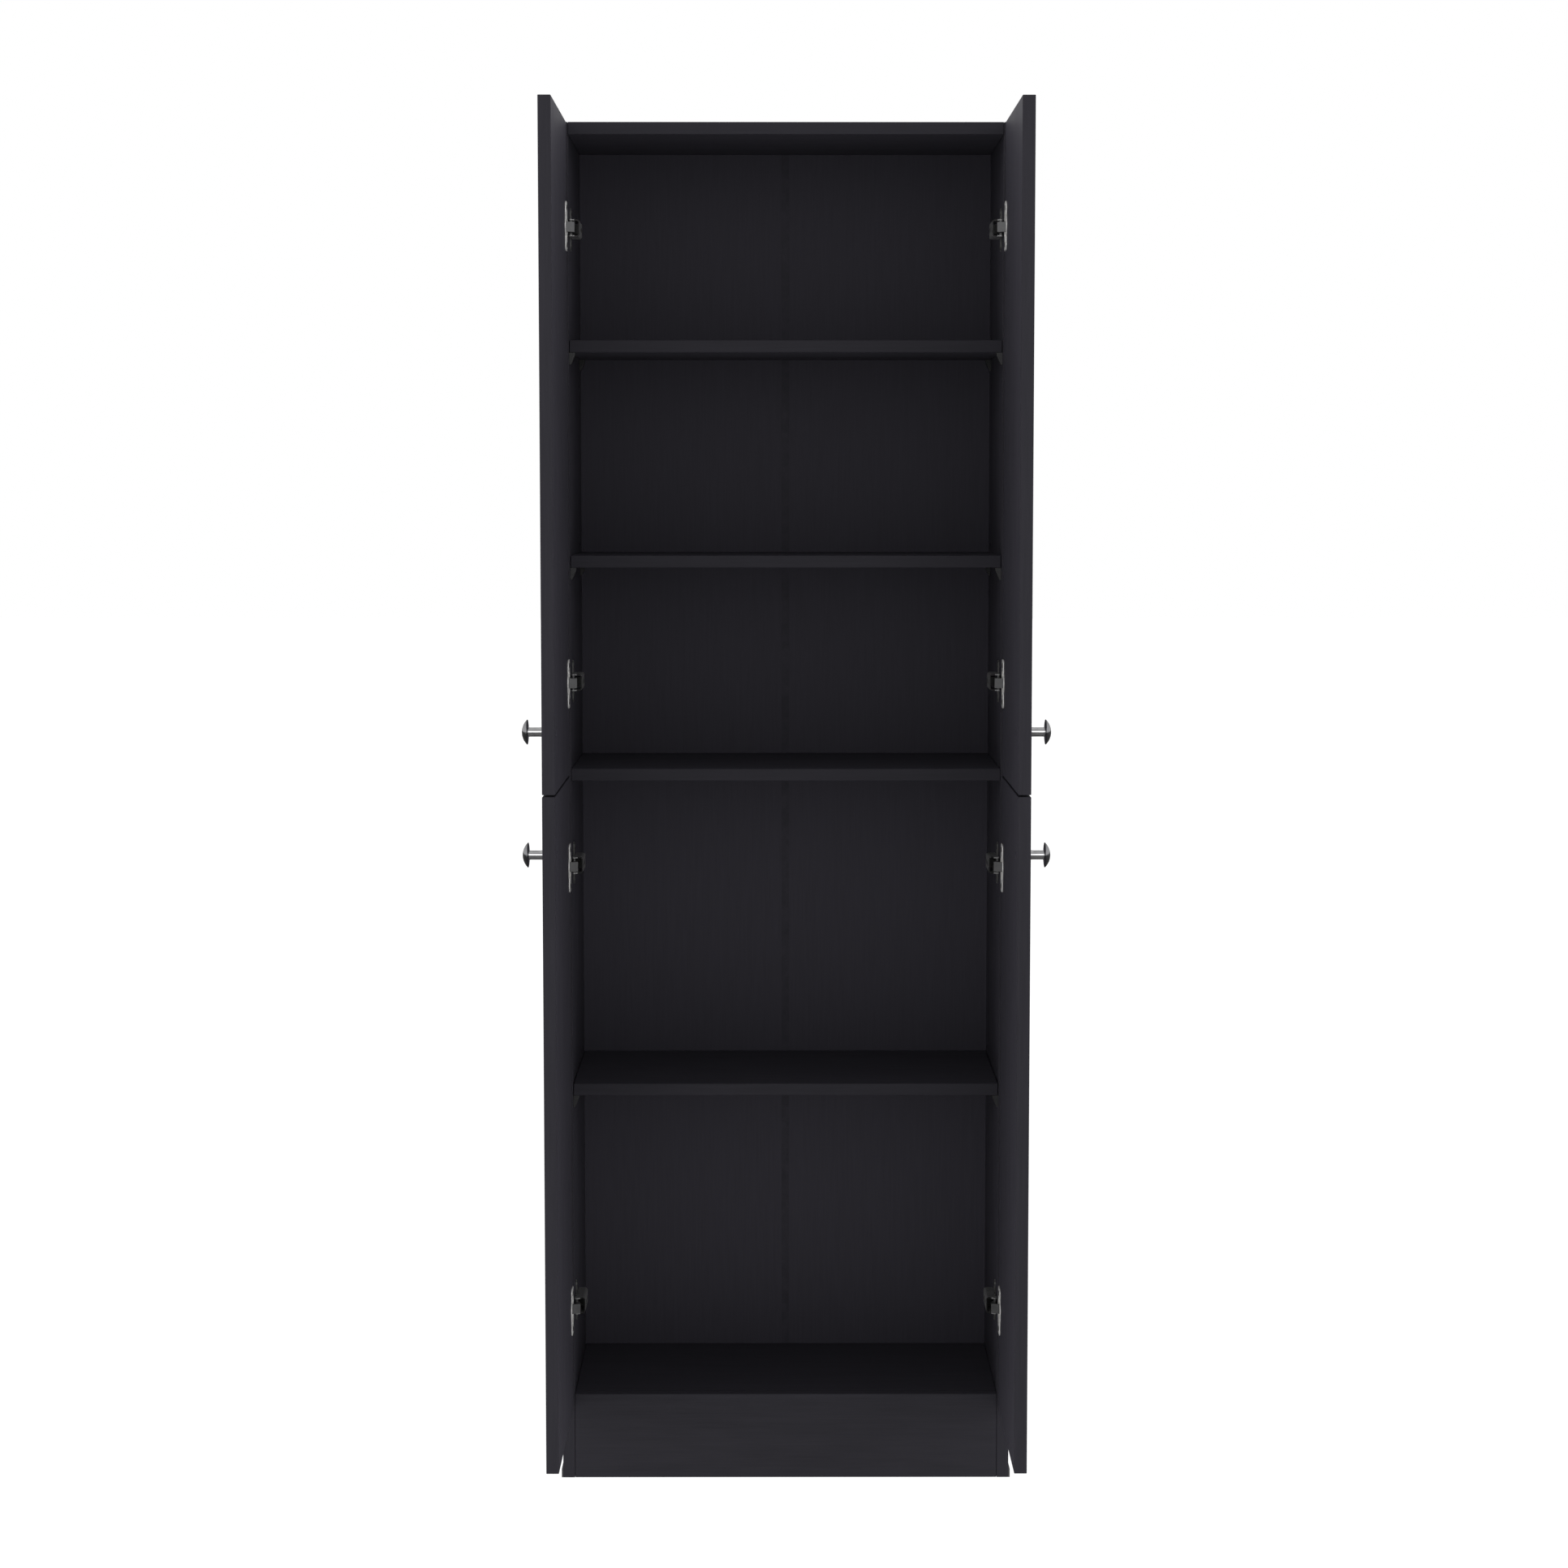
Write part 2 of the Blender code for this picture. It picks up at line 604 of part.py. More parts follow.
def knob():
    """Mushroom knob turned about Y, standing out of the door's face towards -Y."""
    profile = [(radius, -height) for radius, height in KNOB_STEM + KNOB_RIM + KNOB_DOME]
    return turned(profile, KNOB_SEGMENTS)


def door_span(level):
    """Lower and upper edge of a door."""
    if level == "upper":
        return DOOR_SPLIT + DOOR_SPLIT_GAP / 2, DOOR_TOP
    return DOOR_BOTTOM, DOOR_SPLIT - DOOR_SPLIT_GAP / 2


def door_board(level):
    """Right-hand door, closed, drawn about its hinge axis, with a pocket for each cup."""
    low_z, high_z = door_span(level)
    back = -DOOR_GAP - AXIS_Y
    low = (DOOR_REVEAL - AXIS_X, back - DOOR_THICK, low_z)
    high = (DOOR_OUTER - AXIS_X, back, high_z)
    pockets = []
    for height in HINGE_HEIGHTS[level].values():
        centre = (DOOR_OUTER - CUP_FROM_DOOR_EDGE - AXIS_X, height)
        bottom = back - CUP_DEPTH - CLEAR
        end = back + OVERCUT
        pockets.append(rod(centre, CUP_RADIUS + HOLE_CLEARANCE, "Y", bottom, end, CUP_SEGMENTS))
    return board(low, high, pockets)


def add_doors(root, materials):
    cups = both_sides(hinge_cup())
    knob_mesh = knob()
    back = -DOOR_GAP - AXIS_Y
    cup_x = DOOR_OUTER - CUP_FROM_DOOR_EDGE - AXIS_X
    knob_x = DOOR_REVEAL + KNOB_FROM_FREE_EDGE - AXIS_X
    for level in HINGE_HEIGHTS:
        doors = both_sides(door_board(level))
        low_z, high_z = door_span(level)
        knob_z = low_z + KNOB_FROM_SPLIT if level == "upper" else high_z - KNOB_FROM_SPLIT
        for name, side in SIDES.items():
            location = (side * AXIS_X, AXIS_Y, 0.0)
            axis = add_empty(f"door_axis_{level}_{name}", location, root, side * math.pi / 2)
            add_part(f"door_{level}_{name}", doors[name], materials["board"], axis)
            place = (side * knob_x, back - DOOR_THICK - CLEAR, knob_z)
            add_part(f"knob_{level}_{name}", knob_mesh, materials["knob"], axis, place, True)
            for end, height in HINGE_HEIGHTS[level].items():
                part_name = f"hinge_cup_{level}_{name}_{end}"
                place = (side * cup_x, back, height)
                add_part(part_name, cups[name], materials["nickel"], axis, place, True)


def main():
    clear_scene()
    materials = make_materials()
    root = add_empty("front_plane", (0.0, FRONT_PLANE_Y, 0.0))
    add_carcass(root, materials)
    add_back(root, materials)
    add_glides(root, materials)
    add_shelves(root, materials)
    add_hinge_arms_and_links(root, materials)
    add_doors(root, materials)


main()
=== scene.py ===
"""Looks of the pantry cabinet: materials of its boards and fittings, turned knobs, screws and caps."""

import math

import bmesh
import bpy
from mathutils import Matrix, Vector


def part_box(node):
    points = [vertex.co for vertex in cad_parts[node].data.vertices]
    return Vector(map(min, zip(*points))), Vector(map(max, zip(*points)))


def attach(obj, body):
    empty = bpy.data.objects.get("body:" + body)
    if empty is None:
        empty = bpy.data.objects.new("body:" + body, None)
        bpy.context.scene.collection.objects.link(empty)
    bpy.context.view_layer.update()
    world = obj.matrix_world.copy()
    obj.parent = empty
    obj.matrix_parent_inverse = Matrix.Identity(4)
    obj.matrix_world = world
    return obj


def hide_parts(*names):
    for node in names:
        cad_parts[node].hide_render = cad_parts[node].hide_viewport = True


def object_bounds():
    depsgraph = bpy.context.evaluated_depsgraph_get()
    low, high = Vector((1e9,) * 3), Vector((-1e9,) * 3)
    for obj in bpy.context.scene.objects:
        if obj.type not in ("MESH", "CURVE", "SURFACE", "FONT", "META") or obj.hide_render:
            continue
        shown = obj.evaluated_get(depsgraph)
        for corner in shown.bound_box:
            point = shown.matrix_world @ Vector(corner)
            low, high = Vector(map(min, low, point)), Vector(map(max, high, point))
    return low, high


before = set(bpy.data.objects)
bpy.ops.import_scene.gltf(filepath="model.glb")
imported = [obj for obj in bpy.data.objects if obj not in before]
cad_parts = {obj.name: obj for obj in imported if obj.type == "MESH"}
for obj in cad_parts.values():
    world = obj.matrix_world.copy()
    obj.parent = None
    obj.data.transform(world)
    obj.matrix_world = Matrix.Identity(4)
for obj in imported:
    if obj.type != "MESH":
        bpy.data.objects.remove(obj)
cad_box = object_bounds()

LEVELS = ("upper", "lower")
ENDS = ("top", "bottom")
SIDES = {"left": -1, "right": 1}

# Camera
CAMERA_PLACE = (-0.0142, -4.3423, 1.3263)
CAMERA_DOWN = 5.077  # degrees below the horizon
CAMERA_RIGHT = 0.155  # degrees towards +X
CAMERA_LENS = 75.79

# Colours, linear
CHARCOAL = (0.0400, 0.0382, 0.0472)
BACK_CHARCOAL = (0.0374, 0.0352, 0.0448)
RAW_BOARD = (0.165, 0.098, 0.055)
BLACK = (0.010, 0.010, 0.011)
PROFILE_CHARCOAL = (0.0312, 0.0295, 0.0374)
CAP_CHARCOAL = (0.0380, 0.0363, 0.0448)
GLIDE_GREY = (0.052, 0.052, 0.054)
NICKEL = (0.88, 0.87, 0.85)
# nickel of the hinge arm, darkened as painted shade for the arm's shaded channel
ARM_NICKEL_SHADED = (0.20, 0.20, 0.20)
RAIL_PAINTED_SHADE = (0.010, 0.010, 0.010)  # painted shade: black on the forward face of the block under the arm, which lies in the arm's shade
NOSE_PAINTED_HIGHLIGHT = (0.26, 0.26, 0.26)  # painted highlight along the arm's nose, lighter than the rest of the arm
WING_PAINTED_SHADE = (0.075, 0.075, 0.075)  # painted shade on the forward faces of the plate's wings
LINK_NICKEL = (0.120, 0.120, 0.122)
SCREW_NICKEL = (0.14, 0.14, 0.14)
DARK_POLISH = (0.110, 0.110, 0.115)
CHROME = (0.78, 0.78, 0.79)
FLOOR_COLOUR = (0.10, 0.10, 0.10)
WHITE = (1.0, 1.0, 1.0)

# Studio, as shares of white
WORLD_EVEN = 0.50  # brightness in every direction
WORLD_SIDES = 2.33  # added to the far left and right
SIDE_POWER = 2.5  # how closely the added light gathers to the sides
WORLD_FRONT = 1.28  # added straight in front of the cabinet
FRONT_POWER = 6.0  # how closely that gathers to the front
FLOOR_SEEN = 1.00  # brightness of the floor as it is looked at
FLOOR_LIGHT = 1.28  # brightness by which it lights the cabinet; in reflections it is black
FLOOR_ROUGHNESS = 0.9
FLOOR_SIZE = 30.0
FLOOR_DROP = 0.0002  # below the cabinet's feet
FLAG_HEIGHT = 0.72  # sine of the elevation of a grey band that shows only in reflections
FLAG_REACH = 0.24  # how far from that height the band fades out
FLAG_SHADE = 0.25  # share of the light left in the band

# Textures: scale of the noise, octaves of detail, and length of its marks over their width
FIBRES = (420.0, 5.0, 26.0)
STREAKS = (70.0, 3.0, 18.0)
CLOUDS = (5.0, 2.0, 1.0)
PORES = (1900.0, 2.0, 5.0)
BACK_FIBRES = (420.0, 4.0, 24.0)
BLOTCHES = (9.0, 3.0, 1.0)
SCUFFS = (60.0, 5.0, 1.0)
DRAWN_LINES = (2600.0, 2.0, 30.0)
STAINS = (140.0, 5.0, 1.0)
FELTED_SCALE = 900.0  # raw fibres on the back board's rear
FELTED_DETAIL = 6.0
FELTED_STRETCH = (1.0, 1.0, 0.6)
FELTED_ROUGHNESS = 0.7
NOISE_ROUGHNESS = 0.55
NOISE_MIDDLE = (0.3, 0.7)  # range in which most of a noise's values lie
GRAIN_MIDDLE = (0.36, 0.64)
WHOLE = (0.0, 1.0)

# Finishes: pairs of shades run from dark to light, and pairs of roughness from smooth to rough
BOARD_GLOSS = 0.06
PLASTIC_GLOSS = 0.5
EDGE_PAINTED_SHADE = 0.50  # painted shade on the edge bands and the kick board's faces, as a share of the boards' broad faces; it stands in for light that falls mostly from the sides
BROAD_FACE = 0.95  # least part of a broad face's normal that lies along the board's thin axis
TOWARDS = 0.5  # least part of a face's normal that lies the way it is said to face
FIBRE_SHARE = 0.55  # of the printed grain
STREAK_SHARE = 0.45
GRAIN_SHADES = (0.90, 1.12)
HAZE_MOST = 0.35  # how much of the haze covers the grain at most
HAZE_SHADE = 1.18
FOIL_ROUGHNESS = (0.44, 0.54)
FIBRE_ROUGHER = (-0.04, 0.04)
FIBRE_RELIEF = 0.6
PORE_RELIEF = 0.4
BACK_SHADES = (0.94, 1.06)
BACK_ROUGHNESS = (0.50, 0.60)
RAW_SHADES = (0.66, 1.22)
RAW_ROUGHER = 0.25  # added on the raw rear face
BLOTCH_MOST = 0.4  # how much a blotch covers the raw fibres at most
BLOTCH_SHADE = 0.74
PLASTIC_SHADES = (0.86, 1.20)
PLASTIC_ROUGHER = (-0.07, 0.09)
METAL_SHADES = (0.86, 1.06)
METAL_ROUGHER = (-0.03, 0.06)
LINE_ROUGHER = (-0.02, 0.02)

# Relief: strength of the bump, and its depth in metres
FOIL_BUMP = (0.35, 0.00012)
BACK_BUMP = (0.35, 0.00015)
PLASTIC_BUMP = (0.30, 0.00010)
LINE_DEPTH = 0.00003

# Plastics: name, colour, roughness, texture and gloss
PLASTICS = {
    "profile": ("extruded_profile", PROFILE_CHARCOAL, 0.48, (700.0, 3.0, 40.0), BOARD_GLOSS),
    "cap": ("colour_matched_plastic", CAP_CHARCOAL, 0.50, (2200.0, 3.0, 1.0), BOARD_GLOSS),
    "plastic": ("moulded_black_plastic", BLACK, 0.40, (2400.0, 3.0, 1.0), PLASTIC_GLOSS),
    "glide": ("moulded_grey_plastic", GLIDE_GREY, 0.46, (1800.0, 3.0, 1.0), PLASTIC_GLOSS),
}

# Metals: name, colour, roughness, strength of the drawing lines, and share that shines as bare metal
METALS = {
    "nickel": ("nickel_plated_steel", NICKEL, 0.30, 0.25, 0.45),
    "arm": ("nickel_plate_painted_shade", ARM_NICKEL_SHADED, 0.30, 0.25, 0.45),
    "link": ("satin_zinc_plate", LINK_NICKEL, 0.42, 0.25, 1.0),
    "screw": ("dull_screw_plate", SCREW_NICKEL, 0.34, 0.10, 1.0),
    "head": ("dark_polished_metal", DARK_POLISH, 0.16, 0.10, 1.0),
    "stem": ("bright_chrome", CHROME, 0.07, 0.08, 1.0),
}

# Finish of each CAD node, by how its name starts
FINISHES = {
    ("top_panel", "middle_panel", "bottom_panel", "shelf_upper", "shelf_centre", "shelf_lower"): "level",
    "kick_board": "kick",
    ("side_panel", "door_"): "upright",
    "back_panel": "back",
    "back_joining_strip": "profile",
    "shelf_support": "plastic",
    "foot_glide": "glide",
    "hinge_cup": "nickel",
    "hinge_arm": "arm",
    "hinge_link": "link",
}

# Fittings
FLANGE_SCREW_OFFSET = 0.024  # above and below the cup's centre
PLATE_SCREW_OFFSET = 0.022
PLATE_THICK = 0.0018
PLATE_REACH = 1.5  # how far from the wall a face counts as the plate's, in thicknesses
WING_FROM_NOSE = 0.037
NOSE_LENGTH = 0.003
ARM_SCREWS_FROM_NOSE = {"depth": 0.047, "side": 0.025}
SCREW_RADIUS = {"flange": 0.0036, "plate": 0.0042, "arm": 0.0034}
CAP_RADIUS = 0.0050
CAP_THICK = 0.0006
COVER_RADIUS = 0.0085
COVER_THICK = 0.0009
COVER_FROM_SIDE = 0.034
COVER_PLACES = {"front": 0.2, "rear": 0.8}  # share of the panel's depth
SEAT = 0.00005  # how far a fitting is sunk into the face it sits on

# Turned shapes: number of sides, and the sharpest crease still shaded smooth, in degrees
SCREW_SIDES = 32
CAP_SIDES = 40
STEM_SIDES = 64
HEAD_SIDES = 96
CREASE = 32
STEM_CREASE = 50
HEAD_CREASE = 40

# Screw heads, as shares of the radius or of the head's height
SCREW_RISE = 0.20
SCREW_EDGE = 0.25  # straight part of the head's edge
SCREW_DOME = 0.8  # power that rounds the dome
SCREW_STEPS = 6
SLOT_LENGTH = 1.05
SLOT_WIDTH = 0.24
SLOT_LEVEL = 0.95

# Press-in cap: shares of its radius and of its thickness, from the foot over the rim to the dish
CAP_PROFILE = (
    (0.0, 0.0), (1.0, 0.0), (1.0, 0.5), (0.96, 0.85), (0.88, 1.0), (0.72, 1.0), (0.62, 0.8), (0.0, 0.75),
)

# Knobs
KNOB_CROWN = 0.0069  # from the rim to the top of the crown
KNOB_HEAD_THICK = 0.0083
HEAD_GAP = 0.0001  # between the stem and the head
STEM_RADIUS = 0.0064  # of its foot, and of the flat seat under the head
STEM_PROFILE = (  # radius and height of each ring between the foot and the tip
    (0.0064, 0.0007), (0.0061, 0.0012), (0.0059, 0.0026),
    (0.0058, 0.0060), (0.0058, 0.0110), (0.0058, 0.0160),
)
STEM_TIP = 0.0060
RIM_RADIUS = 0.0007
RIM_TURN = 36  # degrees from one ring of the rim to the next
RIM_STEPS = 5
UNDERSIDE_STEPS = 6
UNDERSIDE_POWER = 3.5  # how late the underside rises to the rim
CROWN_STEPS = 16

# Sockets of a Mix node that mixes colours
MIX_FIRST, MIX_SECOND, MIX_RESULT = 6, 7, 2


# ---------------------------------------------------------------- shader nodes


def new_material(name):
    material = bpy.data.materials.new(name)
    material.use_nodes = True
    return material, material.node_tree, material.node_tree.nodes["Principled BSDF"]


def object_point(tree, scale):
    """Object coordinates stretched by a scale along each axis."""
    coords = tree.nodes.new("ShaderNodeTexCoord")
    mapping = tree.nodes.new("ShaderNodeMapping")
    mapping.inputs["Scale"].default_value = scale
    tree.links.new(coords.outputs["Object"], mapping.inputs["Vector"])
    return mapping.outputs["Vector"]


def noise(tree, scale, detail, stretch, roughness=NOISE_ROUGHNESS):
    texture = tree.nodes.new("ShaderNodeTexNoise")
    texture.inputs["Scale"].default_value = scale
    texture.inputs["Detail"].default_value = detail
    texture.inputs["Roughness"].default_value = roughness
    tree.links.new(object_point(tree, stretch), texture.inputs["Vector"])
    return texture.outputs["Fac"]


def marks(tree, texture, axis="Z"):
    """Noise whose marks are drawn out along one axis."""
    scale, detail, length = texture
    return noise(tree, scale, detail, tuple(1.0 / length if name == axis else 1.0 for name in "XYZ"))


def spread(tree, value, low_high, middle=NOISE_MIDDLE):
    """A value's middle range mapped to low..high."""
    node = tree.nodes.new("ShaderNodeMapRange")
    node.inputs["From Min"].default_value, node.inputs["From Max"].default_value = middle
    node.inputs["To Min"].default_value, node.inputs["To Max"].default_value = low_high
    tree.links.new(value, node.inputs["Value"])
    return node.outputs["Result"]


def combine(tree, operation, first, second):
    """Result of a Math node on two values, each a socket or a float."""
    node = tree.nodes.new("ShaderNodeMath")
    node.operation = operation
    for socket, value in zip(node.inputs, (first, second)):
        if isinstance(value, float):
            socket.default_value = value
        else:
            tree.links.new(value, socket)
    return node.outputs["Value"]


def weighted(tree, first, first_share, second, second_share):
    """Sum of two values, each times its share."""
    first_part = combine(tree, "MULTIPLY", first, first_share)
    return combine(tree, "ADD", first_part, combine(tree, "MULTIPLY", second, second_share))


def tint(tree, factor, first, second):
    """First colour where the factor is 0, second where it is 1."""
    node = tree.nodes.new("ShaderNodeMix")
    node.data_type = "RGBA"
    tree.links.new(factor, node.inputs["Factor"])
    for socket, colour in ((node.inputs[MIX_FIRST], first), (node.inputs[MIX_SECOND], second)):
        if isinstance(colour, tuple):
            socket.default_value = (*colour, 1.0)
        else:
            tree.links.new(colour, socket)
    return node.outputs[MIX_RESULT]


def scaled(tree, colour, factor):
    """A colour socket's value times a factor socket's."""
    node = tree.nodes.new("ShaderNodeVectorMath")
    node.operation = "SCALE"
    tree.links.new(colour, node.inputs["Vector"])
    tree.links.new(factor, node.inputs["Scale"])
    return node.outputs["Vector"]


def split(tree, vector):
    """Sockets X, Y and Z of a vector socket."""
    node = tree.nodes.new("ShaderNodeSeparateXYZ")
    tree.links.new(vector, node.inputs["Vector"])
    return node.outputs


def shade(colour, factor):
    return tuple(channel * factor for channel in colour)


def shaded(tree, factor, colour, shades):
    """A colour that goes from its darkest to its lightest shade with the factor."""
    darkest, lightest = shades
    return tint(tree, factor, shade(colour, darkest), shade(colour, lightest))


def around(roughness, rougher):
    """Range of roughness about a middle value."""
    return tuple(roughness + step for step in rougher)


def add_bump(tree, shader, height, strength_depth):
    bump = tree.nodes.new("ShaderNodeBump")
    bump.inputs["Strength"].default_value, bump.inputs["Distance"].default_value = strength_depth
    tree.links.new(height, bump.inputs["Height"])
    tree.links.new(bump.outputs["Normal"], shader.inputs["Normal"])


# ---------------------------------------------------------------- materials


def off_face(tree, face_axis):
    """Mask of the painted shade: 1 on a board's edges, 0 on its two broad faces, whose normal lies along an
    axis.
    """
    normal = split(tree, tree.nodes.new("ShaderNodeTexCoord").outputs["Normal"])
    return combine(tree, "LESS_THAN", combine(tree, "ABSOLUTE", normal[face_axis], 0.0), BROAD_FACE)


def melamine(name, grain_axis, face_axis):
    """Matte charcoal foil with a fine printed grain, pores along it and a light haze of handling.

    Edges, bevels and every face off the broad faces are darkened as painted shade, standing in for light
    that falls mostly from the sides.
    """
    material, tree, shader = new_material(name)
    fibres = marks(tree, FIBRES, grain_axis)
    streaks = marks(tree, STREAKS, grain_axis)
    clouds = marks(tree, CLOUDS)
    pores = marks(tree, PORES, grain_axis)
    grain = weighted(tree, fibres, FIBRE_SHARE, streaks, STREAK_SHARE)
    colour = shaded(tree, spread(tree, grain, WHOLE, GRAIN_MIDDLE), CHARCOAL, GRAIN_SHADES)
    haze = tint(tree, spread(tree, clouds, (0.0, HAZE_MOST)), colour, shade(CHARCOAL, HAZE_SHADE))
    # painted shade: every face off the broad faces is darkened to a share of the foil's colour
    band = spread(tree, off_face(tree, face_axis), (1.0, EDGE_PAINTED_SHADE), WHOLE)
    tree.links.new(scaled(tree, haze, band), shader.inputs["Base Color"])
    rough = combine(tree, "ADD", spread(tree, clouds, FOIL_ROUGHNESS), spread(tree, fibres, FIBRE_ROUGHER))
    tree.links.new(rough, shader.inputs["Roughness"])
    shader.inputs["Specular IOR Level"].default_value = BOARD_GLOSS
    add_bump(tree, shader, weighted(tree, fibres, FIBRE_RELIEF, pores, PORE_RELIEF), FOIL_BUMP)
    return material


def back_board():
    """Thin board: charcoal laminate inside, raw brown fibres on the rear face."""
    material, tree, shader = new_material("back_board_two_faced")
    fibres = marks(tree, BACK_FIBRES)
    felted = noise(tree, FELTED_SCALE, FELTED_DETAIL, FELTED_STRETCH, FELTED_ROUGHNESS)
    blotches = marks(tree, BLOTCHES)
    front = shaded(tree, spread(tree, fibres, WHOLE), BACK_CHARCOAL, BACK_SHADES)
    raw = shaded(tree, spread(tree, felted, WHOLE), RAW_BOARD, RAW_SHADES)
    raw = tint(tree, spread(tree, blotches, (0.0, BLOTCH_MOST)), raw, shade(RAW_BOARD, BLOTCH_SHADE))
    normal = split(tree, tree.nodes.new("ShaderNodeNewGeometry").outputs["True Normal"])
    rear = combine(tree, "GREATER_THAN", normal["Y"], TOWARDS)
    tree.links.new(tint(tree, rear, front, raw), shader.inputs["Base Color"])
    rougher = combine(tree, "MULTIPLY", rear, RAW_ROUGHER)
    rough = combine(tree, "ADD", spread(tree, fibres, BACK_ROUGHNESS), rougher)
    tree.links.new(rough, shader.inputs["Roughness"])
    shader.inputs["Specular IOR Level"].default_value = BOARD_GLOSS
    height = combine(tree, "ADD", fibres, combine(tree, "MULTIPLY", felted, rear))
    add_bump(tree, shader, height, BACK_BUMP)
    return material


def plastic(name, colour, roughness, texture, gloss):
    """Moulded or extruded plastic with a fine texture and slight scuffing."""
    material, tree, shader = new_material(name)
    scuffs = marks(tree, SCUFFS)
    shades = shaded(tree, spread(tree, scuffs, WHOLE), colour, PLASTIC_SHADES)
    tree.links.new(shades, shader.inputs["Base Color"])
    rough = spread(tree, scuffs, around(roughness, PLASTIC_ROUGHER))
    tree.links.new(rough, shader.inputs["Roughness"])
    shader.inputs["Specular IOR Level"].default_value = gloss
    add_bump(tree, shader, marks(tree, texture), PLASTIC_BUMP)
    return material


def arm_fronts(tree):
    """Masks of the painted light on a hinge arm's forward faces: on its nose, on its plate's wings, and on
    the block under it.
    """
    low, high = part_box("hinge_arm_upper_right_top")
    coords = tree.nodes.new("ShaderNodeTexCoord")
    normal = split(tree, coords.outputs["Normal"])
    point = split(tree, coords.outputs["Object"])
    faces_front = combine(tree, "LESS_THAN", normal["Y"], -TOWARDS)
    at_nose = combine(tree, "LESS_THAN", point["Y"], low.y + NOSE_LENGTH)
    from_middle = combine(tree, "ABSOLUTE", point["X"], 0.0)
    at_wall = combine(tree, "GREATER_THAN", from_middle, high.x - PLATE_THICK * PLATE_REACH)
    nose = combine(tree, "MULTIPLY", faces_front, at_nose)
    wings = combine(tree, "MULTIPLY", faces_front, at_wall)
    return nose, wings, combine(tree, "SUBTRACT", faces_front, combine(tree, "MAXIMUM", nose, wings))


def metal(name, colour, roughness, line_strength, bare, arm):
    """Plated or polished metal: fine drawing lines, faint stains and fingerprints in its gloss; on a hinge
    arm, painted highlight and painted shade on the forward faces.
    """
    material, tree, shader = new_material(name)
    lines = marks(tree, DRAWN_LINES)
    stains = marks(tree, STAINS)
    shades = shaded(tree, spread(tree, stains, WHOLE), colour, METAL_SHADES)
    if arm:
        # painted light on the arm's forward faces: a painted highlight on the nose, painted shade on the
        # wings and on the block
        nose, wings, rail_shade_mask = arm_fronts(tree)
        shades = tint(tree, rail_shade_mask, shades, RAIL_PAINTED_SHADE)
        shades = tint(tree, nose, tint(tree, wings, shades, WING_PAINTED_SHADE), NOSE_PAINTED_HIGHLIGHT)
    tree.links.new(shades, shader.inputs["Base Color"])
    shader.inputs["Metallic"].default_value = bare
    stained = spread(tree, stains, around(roughness, METAL_ROUGHER))
    rough = combine(tree, "ADD", stained, spread(tree, lines, LINE_ROUGHER))
    tree.links.new(rough, shader.inputs["Roughness"])
    add_bump(tree, shader, lines, (line_strength, LINE_DEPTH))
    return material


def make_materials():
    made = {
        "upright": melamine("melamine_upright_grain", "Z", "X"),
        "level": melamine("melamine_level_grain", "X", "Z"),
        "kick": melamine("melamine_kick_board", "X", "Z"),  # painted shade: its broad face counts as an edge, so all of it takes the edges' painted shade
        "back": back_board(),
    }
    made.update({use: plastic(*details) for use, details in PLASTICS.items()})
    made.update({use: metal(*details, arm=use == "arm") for use, details in METALS.items()})
    return made


def give(obj, material):
    obj.data.materials.clear()
    obj.data.materials.append(material)


def finish_cad_nodes(materials):
    for name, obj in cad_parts.items():
        for start, finish in FINISHES.items():
            if name.startswith(start):
                give(obj, materials[finish])


# ---------------------------------------------------------------- shapes


def finished(work, name):
    """Mesh made of a bmesh."""
    mesh = bpy.data.meshes.new(name)
    work.to_mesh(mesh)
    work.free()
    return mesh


def turned(profile, sides):
    """Solid of revolution about +Z from (radius, height) points, both ends on the axis."""
    work = bmesh.new()
    rings = []
    for radius, height in profile:
        count = sides if radius > 0.0 else 1
        angles = [2.0 * math.pi * step / sides for step in range(count)]
        rings.append([work.verts.new((radius * math.cos(a), radius * math.sin(a), height)) for a in angles])
    for lower, upper in zip(rings, rings[1:]):
        for step in range(sides):
            after = (step + 1) % sides
            corners = [lower[step % len(lower)], lower[after % len(lower)]]
            corners += [upper[after % len(upper)], upper[step % len(upper)]]
            work.faces.new(list(dict.fromkeys(corners)))
    bmesh.ops.recalc_face_normals(work, faces=work.faces)
    return finished(work, "turned")


def smooth(mesh, crease=CREASE):
    mesh.shade_smooth()
    mesh.set_sharp_from_angle(angle=math.radians(crease))
    return mesh


def bar(size, centre):
    """Block that cuts one arm of a screw's recess."""
    work = bmesh.new()
    matrix = Matrix.Translation(centre) @ Matrix.Diagonal((*size, 1.0))
    bmesh.ops.create_cube(work, size=1.0, matrix=matrix)
    return finished(work, "bar")


def cut(mesh, tools):
    """Mesh left when each tool is cut from it."""
    scene = bpy.context.scene.collection
    base = bpy.data.objects.new("base", mesh)
    scene.objects.link(base)
    others = []
    for tool_mesh in tools:
        tool = bpy.data.objects.new("tool", tool_mesh)
        scene.objects.link(tool)
        step = base.modifiers.new("cut", "BOOLEAN")
        step.operation = "DIFFERENCE"
        step.solver = "EXACT"
        step.object = tool
        others.append(tool)
    graph = bpy.context.evaluated_depsgraph_get()
    result = bpy.data.meshes.new_from_object(base.evaluated_get(graph))
    for obj in [base, *others]:
        bpy.data.objects.remove(obj, do_unlink=True)
    return result


